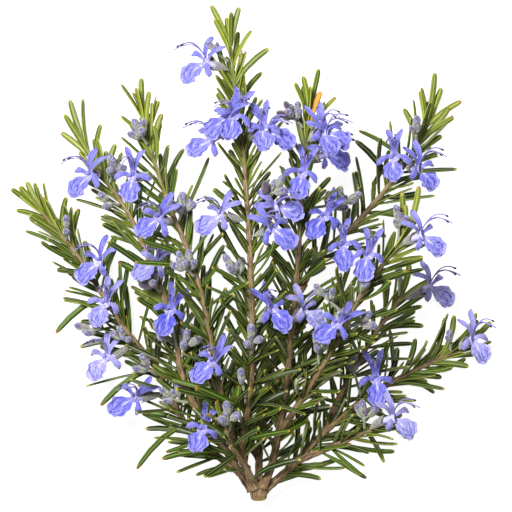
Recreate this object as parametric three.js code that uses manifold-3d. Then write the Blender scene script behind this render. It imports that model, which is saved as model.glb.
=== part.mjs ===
// A flowering rosemary bush, cut at its woody base and lying on a level surface.
// X runs across the bush, Y runs from the cut end to the shoot tips, Z points up from the surface.
// Everything is in millimetres. The origin is the middle of the bush's footprint, on the surface.
import * as THREE from 'three';
import { mergeVertices } from 'three/addons/utils/BufferGeometryUtils.js';
import Module from 'manifold-3d';

// The whole bush. Routes and places below are drawn at these three sizes.
const BUSH_WIDTH = 147;
const BUSH_LENGTH = 149;
const BUSH_DEPTH = 60;

// Wood
const CROWN_RADIUS = 2.6;       // the cut stump
const CROWN_LENGTH = 5.5;
const STEM_FOOT_RADIUS = 1.05;  // where a main stem leaves the stump
const STEM_TIP_RADIUS = 0.5;
const SPUR_RADIUS = 0.55;       // flower and bud stalks
const STEM_SIDES = 5;
const STEM_STEP = 11;           // length of stem between two rings

// Leaves
const LEAF_LENGTH = 15.5;
const LEAF_WIDTH = 2.3;
const LEAF_THICKNESS = 0.9;
const LEAF_SPACING = 9;         // stem length between two pairs
const BARE_FOOT = 9;            // stem length at the foot that has lost its leaves
const SPREAD_ANGLE = 52;        // degrees between a grown leaf and its stem
const TIP_ANGLE = 16;           // degrees between a young tip leaf and its stem

// Flowers and buds
const TUBE_LENGTH = 4;          // corolla tube that shows in front of the calyx
const THROAT_RADIUS = 1.7;
const CALYX_LENGTH = 5;
const CALYX_RADIUS = 1.6;
const UPPER_LIP = 8;            // throat to the tip of the two erect lobes
const UPPER_LIP_RADIUS = 2.4;   // half the width of the two together
const SIDE_LOBE = 5.8;          // throat to the tip of a side lobe
const LOWER_LIP = 8;            // throat to the rim of the spoon
const LIP_RADIUS = 3.1;         // half the spoon's width
const PETAL_THICKNESS = 0.55;
const BUD_LENGTH = 5.5;
const BUD_RADIUS = 1.25;
const BUD_STALK = 1.8;
const SPRAY_STALK = 6;

const GAP = 0.3;                // clearance between two pieces that meet
const NEAREST = 0.2;            // least clearance that a flower, spray or leaf is grown with
const FINENESS = 0.12;          // details smaller than this are smoothed away
const SPECK = 0.01;             // a body of less volume than this is a slip of a crossing
const DRAWN = [147, 149, 60];
const FLOOR = 0.35;             // no leaf's middle line comes nearer to the surface than this

// Every shoot: the piece it springs from, and its middle line from foot to tip.
const SHOOTS = [
  { name: 'shoot_top', from: 'woody_crown', route: [
    [-0.7, 3.0, 10.2], [-2.6, 7, 12.6], [-4.6, 12, 15.4], [-4.5, 18, 19], [-3, 27, 24], [-2, 38, 29],
    [-1.8, 50, 33.5], [-2, 65, 37.5], [-3, 85, 40.5], [-4.5, 105, 41], [-7, 124, 39.5],
    [-8.5, 138, 37] ] },
  { name: 'shoot_right_centre', from: 'woody_crown', route: [
    [1.3, 3.2, 10], [3.8, 9, 11.4], [6.4, 20, 14.5], [8.5, 32, 18.5], [9.5, 45, 22.5], [11, 60, 26],
    [12, 72, 28], [13, 88, 29.5], [14, 100, 29.5], [14.5, 110, 28.5], [16, 119, 27] ] },
  { name: 'shoot_low_right', from: 'woody_crown', route: [
    [1.9, 2.6, 8.4], [6.5, 6.4, 8.8], [12, 11.5, 10], [20, 20, 12], [30, 28.5, 12.6], [40, 35, 11.4],
    [50, 40, 8.6], [63, 45.5, 5] ] },
  { name: 'shoot_upper_left', from: 'woody_crown', route: [
    [-1.9, 2.6, 8.4], [-5.6, 8, 9.6], [-10, 15.5, 13], [-18.5, 27.5, 17.5], [-23, 38, 20],
    [-25, 50, 21.5], [-29, 63, 21], [-34, 75, 18.5], [-39, 86, 14.5], [-46, 96, 9], [-52, 105.5, 4.4] ] },
  { name: 'shoot_back_centre', from: 'woody_crown', route: [
    [0.2, 3.0, 7], [0.4, 12, 6], [1.5, 25, 5.4], [4, 40, 5], [9, 56, 5] ] },
  { name: 'shoot_left_centre', from: 'shoot_top', route: [
    [-4.6, 12, 15.4], [-7.4, 18, 19.5], [-9.5, 26, 24], [-12, 36, 28.5], [-14.5, 50, 32.5], [-17, 62, 35],
    [-21, 75, 36], [-26, 87, 35.5], [-29.5, 97, 34], [-33, 108, 31.5], [-35, 117, 28.5] ] },
  { name: 'shoot_far_left', from: 'shoot_upper_left', route: [
    [-5.6, 8, 9.6], [-10.4, 11.4, 8.4], [-21.5, 22, 9], [-27, 32.5, 9.6], [-32, 41, 9.6],
    [-40, 51, 9.2], [-46, 60, 8.6], [-55, 74, 7.2], [-62, 82.5, 6], [-69.5, 91, 4.6] ] },
  { name: 'shoot_upper_right', from: 'shoot_right_centre', route: [
    [11, 60, 26], [15.5, 68, 23.5], [21, 75.5, 21.5], [28, 81.5, 19.5], [37, 91.5, 16], [43, 99, 12.6],
    [48, 106, 9], [52.5, 116, 5] ] },
  { name: 'shoot_mid_right', from: 'shoot_right_centre', route: [
    [6.4, 20, 14.5], [10.6, 26, 19], [14.6, 32.5, 23], [20, 41, 27.5], [26, 52, 32], [31, 62, 35],
    [38, 71.5, 36.5], [44.5, 79, 36] ] },
  { name: 'shoot_right', from: 'shoot_low_right', route: [
    [20, 20, 12], [22.4, 26, 10.6], [28, 37, 10.4], [33, 46, 10], [38, 53.5, 9], [44, 62, 7] ] },
  { name: 'spur_low_right', from: 'shoot_low_right', route: [
    [12, 11.5, 10], [19, 14.3, 13.4], [25, 16.8, 16], [30, 19.2, 17.6], [35, 21, 18.4] ] },
  { name: 'spur_low_left', from: 'shoot_top', route: [
    [-3.6, 9.2, 13.6], [-5.6, 12.5, 18], [-8.2, 17, 23.5], [-9.6, 22, 27.5] ] },
  { name: 'shoot_back_left', from: 'shoot_back_centre', route: [
    [0.4, 12, 6], [-6, 21, 5.2], [-14, 34, 4.8], [-22, 48, 4.6], [-32, 62, 4.6] ] },
  { name: 'shoot_back_right', from: 'shoot_back_centre', route: [
    [1.5, 25, 5.4], [9, 33, 5], [18, 45, 4.8], [25, 60, 4.8] ] },
];

// Every flower: its shoot, the mouth of its tube, the middle of its lower lip, and the way it looks,
// in degrees from straight up, + to the right. `rise` lifts one out of its neighbour's way. Flowers
// that spring from one axil share a piece.
const FLOWERS = [
  { name: 'flower_01', on: 'shoot_upper_left', throat: [-16.7, 21], lip: [-18, 17.5], looks: -5 },
  { name: 'flower_02', on: 'shoot_left_centre', throat: [-13.7, 41.5], lip: [-17, 38], looks: -35 },
  { name: 'flower_03', on: 'shoot_far_left', throat: [-37.5, 30.5], lip: [-41, 28.5], looks: -45 },
  { name: 'flower_04', on: 'shoot_far_left', throat: [-46, 42.5], lip: [-48, 38], looks: -45 },
  { name: 'flower_05', on: 'shoot_upper_left', throat: [-26.3, 57], lip: [-27.3, 54.5], looks: -5 },
  { name: 'flower_06', on: 'shoot_upper_left', throat: [-31, 71.5], lip: [-34, 69], looks: -40 },
  { name: 'flower_07', on: 'shoot_left_centre', throat: [-30, 84.5], lip: [-34, 81.5], looks: -50 },
  { name: 'flower_08', on: 'shoot_left_centre', throat: [-37.5, 97], lip: [-38, 92], looks: -20 },
  { name: 'flower_09', on: 'shoot_top', throat: [-11.5, 85.5], lip: [-16, 82], looks: -60 },
  { name: 'flower_10', on: 'shoot_top', throat: [4.5, 81.5], lip: [8, 78.5], looks: 30, rise: 3.5 },
  { name: 'flower_11', on: 'shoot_top', throat: [4.5, 57.5], lip: [7, 54], looks: 20 },
  { name: 'flower_12', on: 'shoot_upper_left', throat: [-51, 97.5], lip: [-54.5, 92.7], looks: -65 },
  { name: 'flower_13', on: 'shoot_top', throat: [-16, 131], lip: [-20, 127.5], looks: -75 },
  { name: 'flower_trio_14', on: 'shoot_top', throat: [-9.5, 114.5], lip: [-12, 112], looks: -35 },
  { name: 'flower_trio_14', on: 'shoot_top', throat: [-7, 115], lip: [-8.5, 111], looks: 10 },
  { name: 'flower_trio_14', on: 'shoot_top', throat: [-14, 108], lip: [-18.5, 105], looks: -70 },
  { name: 'flower_pair_15', on: 'shoot_top', throat: [1.5, 111.5], lip: [2, 107.5], looks: 10 },
  { name: 'flower_pair_15', on: 'shoot_top', throat: [3.5, 110], lip: [6.5, 108.5], looks: 60 },
  { name: 'flower_pair_16', on: 'shoot_right_centre', throat: [19.5, 110.5], lip: [21, 107],
    looks: 40, rise: 4 },
  { name: 'flower_pair_16', on: 'shoot_right_centre', throat: [21, 110], lip: [23.3, 108.5],
    looks: 60, rise: 4 },
  { name: 'flower_17', on: 'shoot_right_centre', throat: [20.5, 104], lip: [25.5, 102],
    looks: 82, rise: -6.5 },
  { name: 'flower_18', on: 'shoot_right_centre', throat: [13.3, 98], lip: [12.5, 94.5], looks: 0 },
  { name: 'flower_19', on: 'shoot_top', throat: [6, 88], lip: [13, 86.5], looks: 72, rise: -2 },
  { name: 'flower_20', on: 'shoot_right_centre', throat: [20, 85], lip: [18, 82], looks: -10 },
  { name: 'flower_21', on: 'shoot_upper_right', throat: [25.7, 76.5], lip: [26, 73], looks: 0 },
  { name: 'flower_22', on: 'shoot_mid_right', throat: [33, 73.5], lip: [32.5, 70.5], looks: 0 },
  { name: 'flower_23', on: 'shoot_mid_right', throat: [23.5, 53], lip: [20.5, 50.5], looks: -20 },
  { name: 'flower_24', on: 'shoot_right_centre', throat: [14, 57], lip: [17, 54.5], looks: 75 },
  { name: 'flower_25', on: 'shoot_mid_right', throat: [49, 79.5], lip: [54.5, 75.5], looks: 75 },
  { name: 'flower_26', on: 'shoot_right', throat: [52.5, 64], lip: [57, 60.5], looks: 70 },
  { name: 'flower_27', on: 'shoot_upper_right', throat: [41, 103], lip: [41, 100], looks: -10 },
  { name: 'flower_28', on: 'shoot_upper_right', throat: [49, 99.5], lip: [52, 94.5],
    looks: 60, rise: -3.5 },
  { name: 'flower_29', on: 'shoot_low_right', throat: [35.3, 36.3], lip: [35.5, 33], looks: 0 },
  { name: 'flower_30', on: 'shoot_low_right', throat: [65, 48], lip: [67, 43.5], looks: 50 },
  { name: 'flower_31', on: 'spur_low_right', throat: [41, 24.5], lip: [45, 20.5], looks: 60 },
  { name: 'flower_32', on: 'shoot_far_left', throat: [-48, 71.5], lip: [-51.5, 68], looks: -60 },
  { name: 'flower_33', on: 'shoot_far_left', throat: [-46, 59], lip: [-47.5, 55.5],
    looks: -20, rise: -1.5 },
];

// Every spray of closed buds: its shoot, the middle of the spray and how many buds it holds.
const BUDS = [
  { name: 'bud_spray_01', on: 'shoot_upper_left', at: [-43.5, 98.5], count: 5 },
  { name: 'bud_spray_02', on: 'shoot_left_centre', at: [-35, 109.5], count: 4 },
  { name: 'bud_spray_03', on: 'shoot_left_centre', at: [-22.5, 87], count: 6 },
  { name: 'bud_spray_04', on: 'shoot_left_centre', at: [-21.5, 70], count: 5 },
  { name: 'bud_spray_05', on: 'shoot_top', at: [-7, 68.5], count: 3 },
  { name: 'bud_spray_06', on: 'shoot_top', at: [-1.5, 48], count: 4, rise: 3.5 },
  { name: 'bud_spray_07', on: 'shoot_far_left', at: [-49.5, 50.5], count: 3, rise: -1.5 },
  { name: 'bud_spray_08', on: 'shoot_upper_left', at: [-21.5, 46.5], count: 4 },
  { name: 'bud_spray_09', on: 'spur_low_left', at: [-10.5, 25], count: 4 },
  { name: 'bud_spray_10', on: 'shoot_right_centre', at: [10.5, 115], count: 6 },
  { name: 'bud_spray_11', on: 'shoot_right_centre', at: [26, 89], count: 5, rise: -5 },
  { name: 'bud_spray_12', on: 'shoot_mid_right', at: [42, 83], count: 3 },
];

const BARK = { color: 0x7d6350, roughness: 0.9, metalness: 0 };
const LEAF = { color: 0x4f7a26, roughness: 0.5, metalness: 0 };
const PETAL = { color: 0x7b80f0, roughness: 0.6, metalness: 0 };
const BUD = { color: 0x8f93a8, roughness: 0.7, metalness: 0 };

const UP = new THREE.Vector3(0, 0, 1);
const AHEAD = new THREE.Vector3(0, 1, 0);
const radians = THREE.MathUtils.degToRad;

const wasm = await Module();
wasm.setup();

const place = ([x, y, z]) => new THREE.Vector3(
  x * BUSH_WIDTH / DRAWN[0], y * BUSH_LENGTH / DRAWN[1], z * BUSH_DEPTH / DRAWN[2]);

// A steady value between -1 and 1 for each count, in place of chance.
const sway = (count, salt) => Math.sin(count * 12.9898 + salt * 78.233);

// A closed body along a curve. Each station is [share of the curve, half width, half thickness];
// `facing` is the side that its half thickness is measured towards. A last width of 0 is a point.
function sweep(curve, facing, sides, stations) {
  const steps = stations.length - 1;
  const tipRadius = stations[steps][1] === 0 ? 0 : 1;
  const geometry = new THREE.CylinderGeometry(tipRadius, 1, 1, sides, steps);
  const spots = geometry.getAttribute('position');
  const frames = stations.map(([share, width, thickness]) => {
    const ahead = curve.getTangentAt(share);
    const top = facing.clone().addScaledVector(ahead, -facing.dot(ahead)).normalize();
    const side = new THREE.Vector3().crossVectors(ahead, top);
    side.multiplyScalar(width);
    top.multiplyScalar(thickness);
    return { spot: curve.getPointAt(share), side, top };
  });
  for (let i = 0; i < spots.count; i++) {
    const { spot, side, top } = frames[Math.round((spots.getY(i) + 0.5) * steps)];
    const reach = Math.hypot(spots.getX(i), spots.getZ(i));
    const across = reach > 0 ? spots.getX(i) / reach : 0;
    const over = reach > 0 ? spots.getZ(i) / reach : 0;
    const moved = spot.clone().addScaledVector(side, across).addScaledVector(top, over);
    spots.setXYZ(i, moved.x, moved.y, moved.z);
  }
  return toSolid(geometry);
}

function toSolid(geometry) {
  geometry.deleteAttribute('normal');
  geometry.deleteAttribute('uv');
  const merged = mergeVertices(geometry, 1e-5);
  return new wasm.Manifold(new wasm.Mesh({
    numProp: 3,
    vertProperties: new Float32Array(merged.getAttribute('position').array),
    triVerts: new Uint32Array(merged.getIndex().array),
  }));
}

// Crossing leaves can close off a pocket between them: a body of negative volume, or only a speck.
function filled(solid) {
  return wasm.Manifold.compose(solid.decompose().filter(body => body.volume() > SPECK));
}

function toMesh(name, solid, finish) {
  const { vertProperties, triVerts } = filled(solid.simplify(FINENESS)).getMesh();
  const geometry = new THREE.BufferGeometry();
  geometry.setAttribute('position', new THREE.BufferAttribute(vertProperties, 3));
  geometry.setIndex(new THREE.BufferAttribute(triVerts, 1));
  geometry.computeVertexNormals();
  const mesh = new THREE.Mesh(geometry, new THREE.MeshStandardMaterial(finish));
  mesh.name = name;
  return mesh;
}

// Room: rods that stand for the pieces placed so far, so that the next one can be kept off them.
const rods = [];

function rodsAlong(curve, count, radiusAt) {
  const spots = curve.getSpacedPoints(count);
  return spots.slice(1).map((end, i) => ({ start: spots[i], end, radius: radiusAt((i + 0.5) / count) }));
}

// Shortest distance between two line segments.
function distance(a, b) {
  const along = a.end.clone().sub(a.start);
  const other = b.end.clone().sub(b.start);
  const between = a.start.clone().sub(b.start);
  const aa = along.dot(along);
  const bb = other.dot(other);
  const ab = along.dot(other);
  const ra = along.dot(between);
  const rb = other.dot(between);
  const spread = aa * bb - ab * ab;
  let s = spread > 1e-9 ? THREE.MathUtils.clamp((ab * rb - ra * bb) / spread, 0, 1) : 0;
  let t = (ab * s + rb) / bb;
  if (t < 0 || t > 1) {
    t = THREE.MathUtils.clamp(t, 0, 1);
    s = THREE.MathUtils.clamp((ab * t - ra) / aa, 0, 1);
  }
  return between.addScaledVector(along, s).addScaledVector(other, -t).length();
}

// Least clearance between new rods and the surface or any placed rod of another piece.
function clearance(fresh, owner) {
  let least = Math.min(...fresh.map(own => Math.min(own.start.z, own.end.z) - own.floorRadius + NEAREST));
  for (const rod of rods) {
    if (rod.owner === owner) continue;
    for (const own of fresh) {
      const far = own.start.distanceTo(rod.start) - own.reach - rod.reach;
      if (far > least) continue;
      least = Math.min(least, distance(own, rod) - own.radius - rod.radius);
    }
  }
  return least;
}

function claim(fresh, owner) {
  for (const rod of fresh) rods.push({ ...rod, owner });
}

function measured(fresh) {
  for (const rod of fresh) {
    rod.reach = rod.start.distanceTo(rod.end) + rod.radius;
    rod.floorRadius ??= rod.radius;
  }
  return fresh;
}

// The first of several ways to grow a piece that keeps the gap, or the roomiest of them.
function roomiest(ways, owner, grow) {
  let best = null;
  for (const way of ways) {
    const piece = grow(way);
    piece.room = clearance(measured(piece.rods), owner);
    if (piece.room >= NEAREST) return piece;
    if (!best || piece.room > best.room) best = piece;
  }
  return best;
}

// The woody crown: a short stump with a flat cut end.
const crownLine = new THREE.LineCurve3(place([0.3, 0, 9]), place([0, CROWN_LENGTH, 9]));
function crownSolid(grown) {
  return sweep(crownLine, UP, 10, [
    [0, CROWN_RADIUS + grown, CROWN_RADIUS + grown],
    [0.55, CROWN_RADIUS * 0.96 + grown, CROWN_RADIUS * 0.96 + grown],
    [1, CROWN_RADIUS * 0.7 + grown, CROWN_RADIUS * 0.7 + grown],
  ]);
}

// A stem: round, thinning evenly from foot to tip.
function stemRadius(shoot, share) {
  const foot = shoot.from === 'woody_crown' ? STEM_FOOT_RADIUS : STEM_FOOT_RADIUS * 0.85;
  return THREE.MathUtils.lerp(foot, STEM_TIP_RADIUS, share);
}

function stemSolid(shoot, grown) {
  const steps = Math.max(3, Math.round(shoot.line.getLength() / STEM_STEP));
  const stations = [];
  for (let i = 0; i <= steps; i++) {
    const radius = stemRadius(shoot, i / steps) + grown;
    stations.push([i / steps, radius, radius]);
  }
  return sweep(shoot.line, UP, STEM_SIDES, stations);
}

const shoots = new Map();
for (const { name, from, route } of SHOOTS) {
  const shoot = { name, from, line: new THREE.CatmullRomCurve3(route.map(place), false, 'centripetal') };
  shoots.set(name, shoot);
  claim(measured(rodsAlong(shoot.line, route.length * 3, share => stemRadius(shoot, share))), name);
}
claim(measured(rodsAlong(crownLine, 2, () => CROWN_RADIUS)), 'woody_crown');

// The share of a shoot's length that lies nearest to a place, seen from above.
function nearestShare(shoot, x, y) {
  const steps = 60;
  let best = { share: 0, far: Infinity };
  for (let i = 2; i <= steps - 2; i++) {
    const spot = shoot.line.getPointAt(i / steps);
    const far = Math.hypot(spot.x - x, spot.y - y);
    if (far < best.far) best = { share: i / steps, far };
  }
  return best.share;
}

// Where a stalk leaves its stem: a gap outside the bark, on the side that looks at `target`.
function footOn(shoot, share, target) {
  const axis = shoot.line.getPointAt(share);
  const ahead = shoot.line.getTangentAt(share);
  const out = target.clone().sub(axis);
  out.addScaledVector(ahead, -out.dot(ahead)).normalize();
  const offset = stemRadius(shoot, share) + GAP + SPUR_RADIUS;
  return { foot: axis.addScaledVector(out, offset), out };
}

// A flower: stalk, calyx, tube, two erect lobes, two side lobes and the spoon-shaped lower lip.
function growFlower(row, way) {
  const shoot = shoots.get(row.on);
  const looks = radians(row.looks + way.turn);
  const face = new THREE.Vector3(Math.sin(looks), 0, Math.cos(looks));
  const throat = place([...row.throat, 0]);
  const root = place([row.throat[0], row.throat[1] - 3, 0]);
  const share = row.joined?.share ?? nearestShare(shoot, root.x, root.y);
  const axis = shoot.line.getPointAt(share);
  const aside = Math.hypot(throat.x - axis.x, throat.y - axis.y);
  const whole = CALYX_LENGTH + TUBE_LENGTH;
  const height = Math.sqrt(Math.max(0, whole * whole - aside * aside));
  throat.z = axis.z + Math.max(1.5, height) + (row.rise ?? 0) + way.lift;
  const { foot, out } = row.joined ?? footOn(shoot, share, throat);
  const drop = new THREE.Vector3(row.lip[0] - row.throat[0], row.lip[1] - row.throat[1], 0);
  drop.addScaledVector(face, -drop.dot(face)).normalize();
  const side = new THREE.Vector3().crossVectors(drop, face);
  const reach = foot.distanceTo(throat);
  const behind = throat.clone().addScaledVector(face, -0.45 * reach);
  const bend = foot.clone().addScaledVector(out, 0.45 * reach).lerp(behind, 0.6);
  const line = new THREE.QuadraticBezierCurve3(foot, bend, throat);
  const from = (ahead, down, aside_) => throat.clone()
    .addScaledVector(face, ahead).addScaledVector(drop, down).addScaledVector(side, aside_);
  const lobe = (...spots) => new THREE.QuadraticBezierCurve3(...spots.map(spot => from(...spot)));
  const upper = lobe([-1, -0.4, 0], [1.4, -UPPER_LIP / 2, 0], [0.4, -UPPER_LIP, 0]);
  const sides = [-1, 1].map(hand =>
    lobe([-0.9, 0.1, 0.3 * hand], [1.8, 0.2, SIDE_LOBE / 2 * hand], [0.2, 1, SIDE_LOBE * hand]));
  const lower = lobe([-1.1, 0.5, 0], [2.6, LOWER_LIP * 0.45, 0], [2.4, LOWER_LIP, 0]);
  return {
    line, face, drop, upper, sides, lower, share, foot, out,
    rods: [
      ...rodsAlong(line, 5, along => (along < 0.3 ? SPUR_RADIUS : CALYX_RADIUS)),
      ...rodsAlong(upper, 3, along => (along < 0.3 ? THROAT_RADIUS : UPPER_LIP_RADIUS * 0.87)),
      ...sides.flatMap(curve => rodsAlong(curve, 1, () => 1)),
      ...rodsAlong(lower, 3, along => (along < 0.3 ? THROAT_RADIUS : LIP_RADIUS * 0.87)),
    ],
  };
}

function flowerSolid({ line, face, drop, upper, sides, lower }) {
  const length = line.getLength();
  const at = back => Math.max(0.02, 1 - back / length);
  const calyxTop = at(TUBE_LENGTH);
  const calyxFoot = Math.min(at(TUBE_LENGTH + CALYX_LENGTH * 0.8), calyxTop * 0.5);
  const body = sweep(line, drop, 5, [
    [0, SPUR_RADIUS, SPUR_RADIUS],
    [calyxFoot, SPUR_RADIUS * 1.5, SPUR_RADIUS * 1.5],
    [calyxTop, CALYX_RADIUS, CALYX_RADIUS],
    [1, THROAT_RADIUS, THROAT_RADIUS],
  ]);
  const thin = PETAL_THICKNESS;
  const petals = [
    sweep(upper, face, 3, [[0, 0.9, thin], [0.7, UPPER_LIP_RADIUS, thin], [1, 0, 0]]),
    ...sides.map(curve => sweep(curve, face, 3, [[0, 1.1, thin], [1, 0, 0]])),
    sweep(lower, face, 3, [[0, 0.9, thin], [0.6, LIP_RADIUS, thin], [1, 0, 0]]),
  ];
  return wasm.Manifold.union([body, ...petals]);
}

// A spray of buds: a short stalk with closed buds fanned round its end.
function growSpray(row, way) {
  const shoot = shoots.get(row.on);
  const head = place([...row.at, 0]);
  const share = nearestShare(shoot, head.x, head.y - 3);
  const axis = shoot.line.getPointAt(share);
  const aside = Math.hypot(head.x - axis.x, head.y - axis.y);
  const height = Math.sqrt(Math.max(0, SPRAY_STALK * SPRAY_STALK - aside * aside));
  head.z = axis.z + Math.max(2.5, height) + (row.rise ?? 0) + way.lift;
  const { foot } = footOn(shoot, share, head);
  const stalk = new THREE.LineCurve3(foot, head);
  const axisOut = head.clone().sub(foot).normalize().lerp(AHEAD, 0.35).normalize();
  const across = new THREE.Vector3().crossVectors(axisOut, AHEAD).normalize();
  const buds = [];
  for (let i = 0; i < row.count; i++) {
    const turn = i * 2.4 + radians(way.turn);
    const lean = i === 0 ? 0.15 : 0.75;
    const away = across.clone().applyAxisAngle(axisOut, turn).multiplyScalar(Math.sin(lean))
      .addScaledVector(axisOut, Math.cos(lean));
    const start = stalk.getPoint(0.97 - 0.6 * i / row.count);
    const end = start.clone().addScaledVector(away, BUD_STALK + BUD_LENGTH);
    buds.push(new THREE.LineCurve3(start, end));
  }
  return {
    stalk, buds,
    rods: [
      ...rodsAlong(stalk, 3, () => SPUR_RADIUS),
      ...buds.flatMap(curve => rodsAlong(curve, 2, () => BUD_RADIUS)),
    ],
  };
}

function spraySolid({ stalk, buds }) {
  const stem = sweep(stalk, UP, 4, [[0, SPUR_RADIUS, SPUR_RADIUS], [1, SPUR_RADIUS, SPUR_RADIUS]]);
  const bud = curve => sweep(curve, AHEAD, 4, [[0, 0.4, 0.4], [0.65, BUD_RADIUS, BUD_RADIUS], [1, 0, 0]]);
  return wasm.Manifold.union([stem, ...buds.map(bud)]);
}

// A leaf: from its stem's middle line outwards and gently back, never below the surface.
function growLeaf(shoot, share, around, lean, length) {
  const start = shoot.line.getPointAt(share);
  const ahead = shoot.line.getTangentAt(share);
  const right = new THREE.Vector3().crossVectors(ahead, UP).normalize();
  const out = right.applyAxisAngle(ahead, radians(around));
  const away = ahead.clone().multiplyScalar(Math.cos(radians(lean)))
    .addScaledVector(out, Math.sin(radians(lean)));
  const middle = start.clone().addScaledVector(away, length * 0.55);
  const tip = start.clone().addScaledVector(away, length).addScaledVector(out, length * 0.08);
  middle.z = Math.max(middle.z, FLOOR);
  tip.z = Math.max(tip.z, FLOOR);
  const line = new THREE.QuadraticBezierCurve3(start, middle, tip);
  const face = ahead.clone().multiplyScalar(Math.sin(radians(lean)))
    .addScaledVector(out, -Math.cos(radians(lean)));
  const touching = rodsAlong(line, 3, () => LEAF_WIDTH / 2).map(rod => ({ ...rod, floorRadius: 0 }));
  return { line, face, rods: touching };
}

function leafSolid({ line, face }) {
  const half = LEAF_WIDTH / 2 / Math.sin(radians(120));
  const thin = LEAF_THICKNESS / 1.5;
  return sweep(line, face, 3, [[0, half * 0.45, thin * 0.8], [0.5, half, thin], [1, 0, 0]]);
}

const bush = new THREE.Group();
bush.add(toMesh('woody_crown', crownSolid(0), BARK));

// Flowers come first, then the sprays, then the leaves that grow round them.
const WAYS = [];
for (const lift of [0, 1.5, 3, -1.5, 4.5, 6, 8]) {
  for (const turn of [0, 12, -12, 25, -25, 40, -40]) WAYS.push({ lift, turn });
}
const flowers = new Map();
for (const row of FLOWERS) {
  const cluster = flowers.get(row.name) ?? [];
  const flower = roomiest(WAYS, row.name, way => growFlower({ ...row, joined: cluster[0] }, way));
  claim(flower.rods, row.name);
  flowers.set(row.name, [...cluster, flower]);
}
for (const [name, cluster] of flowers) {
  bush.add(toMesh(name, wasm.Manifold.union(cluster.map(flowerSolid)), PETAL));
}

for (const row of BUDS) {
  const spray = roomiest(WAYS, row.name, way => growSpray(row, way));
  claim(spray.rods, row.name);
  bush.add(toMesh(row.name, spraySolid(spray), BUD));
}

const LEAF_WAYS = [];
for (const share of [1, 0.8]) {
  for (const tilt of [0, 12, -12, -24]) {
    for (const turn of [0, 18, -18, 36, -36]) LEAF_WAYS.push({ turn, tilt, share });
  }
}
for (const shoot of shoots.values()) {
  const length = shoot.line.getLength();
  const pairs = Math.round((length - BARE_FOOT) / LEAF_SPACING);
  const parts = [stemSolid(shoot, 0)];
  for (let pair = 0; pair <= pairs; pair++) {
    const share = THREE.MathUtils.lerp(BARE_FOOT / length, 0.985, pair / pairs);
    const young = THREE.MathUtils.smoothstep(share, 0.6, 1);
    const lean = THREE.MathUtils.lerp(SPREAD_ANGLE, TIP_ANGLE, young) + 8 * sway(pair, length);
    const size = LEAF_LENGTH * (1 - 0.2 * young + 0.12 * sway(pair, length + 1));
    for (const hand of [0, 180]) {
      const around = pair * 90 + hand + 15 * sway(pair + hand, length);
      const leaf = roomiest(LEAF_WAYS, shoot.name, way =>
        growLeaf(shoot, share, around + way.turn, lean + way.tilt, size * way.share));
      if (leaf.room < NEAREST) continue;
      claim(leaf.rods, shoot.name);
      parts.push(leafSolid(leaf));
    }
  }
  const parent = shoots.get(shoot.from);
  const cutter = parent ? stemSolid(parent, GAP) : crownSolid(GAP);
  bush.add(toMesh(shoot.name, wasm.Manifold.union(parts).subtract(cutter), LEAF));
}

// The footprint is centred on the origin and the lowest leaf touches the surface.
const extent = new THREE.Box3().setFromObject(bush);
const centre = extent.getCenter(new THREE.Vector3());
bush.position.set(-centre.x, -centre.y, -extent.min.z);
bush.updateMatrixWorld(true);

export default bush;
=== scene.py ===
import bpy
import numpy as np
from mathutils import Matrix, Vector


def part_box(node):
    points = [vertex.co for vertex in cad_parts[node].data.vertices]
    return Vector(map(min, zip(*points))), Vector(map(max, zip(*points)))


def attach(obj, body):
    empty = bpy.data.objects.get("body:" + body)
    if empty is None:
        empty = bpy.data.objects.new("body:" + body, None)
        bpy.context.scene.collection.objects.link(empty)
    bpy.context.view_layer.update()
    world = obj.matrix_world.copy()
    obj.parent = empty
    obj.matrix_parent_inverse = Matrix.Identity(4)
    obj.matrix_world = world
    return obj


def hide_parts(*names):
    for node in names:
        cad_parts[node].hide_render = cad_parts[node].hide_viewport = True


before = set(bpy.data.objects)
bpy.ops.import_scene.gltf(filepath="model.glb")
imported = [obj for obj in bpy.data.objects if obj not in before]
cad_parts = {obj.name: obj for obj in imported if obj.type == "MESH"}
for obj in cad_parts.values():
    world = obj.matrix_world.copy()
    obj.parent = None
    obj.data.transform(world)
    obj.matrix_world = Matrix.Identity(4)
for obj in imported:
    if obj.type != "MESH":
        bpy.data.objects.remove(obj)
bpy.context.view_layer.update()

# ------------------------------------------------------------
# The woody crown
# The hard, short stump that all the shoots spring from. It was cut from the plant with
# secateurs, so one end is a flat, ochre face and the rest is brown bark that splits along its
# length. Everything below is drawn in millimetres from the middle of that cut.
CROWN_LINE = [[0.35, -1, 9], [0, 5.5, 9]]
CROWN_RUN = [-0.3, 5.5, 0]  # the way its rings look
CROWN_RADIUS = 2.6
CROWN_SIDES = 28
CUT_SLANT = 0.28            # the cut's lean, as a share of its height
CUT_EDGE = [2.769, -0.135, 9]  # the cut's right edge, nearest point and middle height

crown_low, crown_high = (np.array(corner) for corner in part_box("woody_crown"))
MM = 0.001
START = np.array([crown_high[0], crown_low[1], (crown_low[2] + crown_high[2]) / 2])
START = START - MM * np.array(CUT_EDGE)
TABLE = -START[2] / MM  # height of the table's top in the drawing


def unit(vectors):
    """Each vector divided by its own length."""
    return vectors / np.maximum(np.linalg.norm(vectors, axis=-1, keepdims=True), 1e-9)


def smooth(value, low, high):
    """0 below low, 1 above high, and 3 s^2 - 2 s^3 of the share s in between."""
    share = np.clip((np.asarray(value, float) - low) / (high - low), 0, 1)
    return share * share * (3 - 2 * share)


def turns(sides):
    """The angles of this many points spaced evenly round a circle."""
    return np.arange(sides) * 2 * np.pi / sides


def round_outline(sides):
    """Points round a circle of radius 1, counted anticlockwise."""
    return np.stack([np.cos(turns(sides)), np.sin(turns(sides))], axis=-1)


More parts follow.
